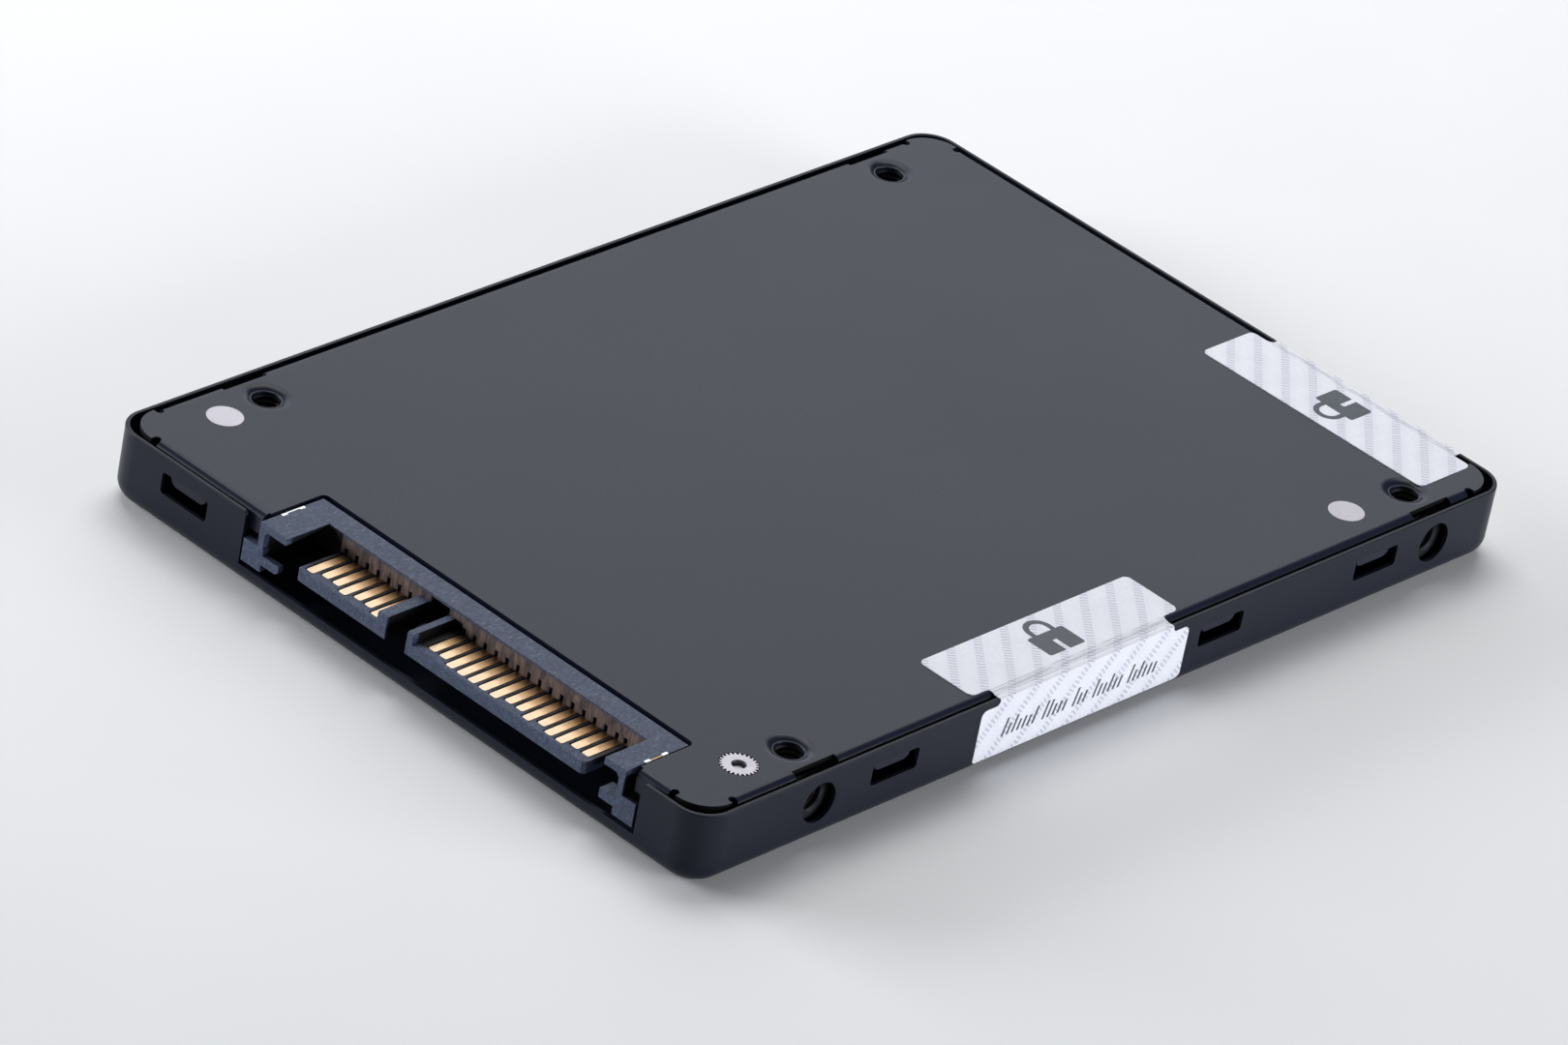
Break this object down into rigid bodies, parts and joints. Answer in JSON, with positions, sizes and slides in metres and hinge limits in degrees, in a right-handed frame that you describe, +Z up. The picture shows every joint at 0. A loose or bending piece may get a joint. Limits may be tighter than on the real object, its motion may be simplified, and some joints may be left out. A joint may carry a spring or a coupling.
{
  "type": "solid state drive",
  "caption": "Flat 2.5-inch metal-cased solid state drive, 7 mm high, with a SATA plug recessed in one end, tapped mounting holes and seals over the seams.",
  "frame": {"origin": "centre of the base of the bounding box; the drive lies on its label face at Z = 0", "axes": "+Z up through the face with the four mounting holes, -Y towards the connector end, +X to the right when looking along +Y"},
  "size_m": [0.0699, 0.1003, 0.0071],
  "materials": {
    "shell_paint": "satin black powder paint on drawn sheet",
    "cover_paint": "satin black paint on stamped sheet",
    "block_metal": "dark anodised die casting, tapped",
    "standoff_metal": "bare turned steel, nickel plated",
    "screw_metal": "zinc plated",
    "plug_plastic": "mottled blue-grey glass-filled moulding",
    "contact_gold": "gold plated, polished",
    "clip_metal": "tin plated spring sheet",
    "board_green": "solder-masked glass epoxy board",
    "chip_black": "moulded epoxy package",
    "inductor_grey": "pressed ferrite",
    "ceramic_tan": "fired ceramic",
    "tantalum_yellow": "moulded capacitor body",
    "crystal_can": "plated can",
    "pad_grey": "soft silicone pad",
    "seal_film": "silver-white metallised film",
    "label_film": "blank satin film"
  },
  "bodies": {
    "root": {"shell": "shell_paint", "cover": "cover_paint", "mount_block_front_left": "block_metal", "mount_block_front_right": "block_metal", "mount_block_back_left": "block_metal", "mount_block_back_right": "block_metal", "standoff_front_left": "standoff_metal", "standoff_back_right": "standoff_metal", "standoff_front_right": "standoff_metal", "board_screws": "screw_metal", "connector_housing": "plug_plastic", "signal_contacts": "contact_gold", "power_contacts": "contact_gold", "board_lock_left": "clip_metal", "board_lock_right": "clip_metal", "circuit_board": "board_green", "controller_chip": "chip_black", "dram_chip": "chip_black", "flash_chip_1": "chip_black", "flash_chip_2": "chip_black", "flash_chip_3": "chip_black", "flash_chip_4": "chip_black", "power_regulator": "chip_black", "power_inductors": "inductor_grey", "ceramic_capacitors": "ceramic_tan", "holdup_capacitors": "tantalum_yellow", "oscillator": "crystal_can", "resistors": "chip_black", "controller_pad": "pad_grey", "flash_pad_left": "pad_grey", "flash_pad_right": "pad_grey", "tamper_seal_side": "seal_film", "tamper_seal_back": "seal_film", "product_label": "label_film"}
  },
  "joints": []
}
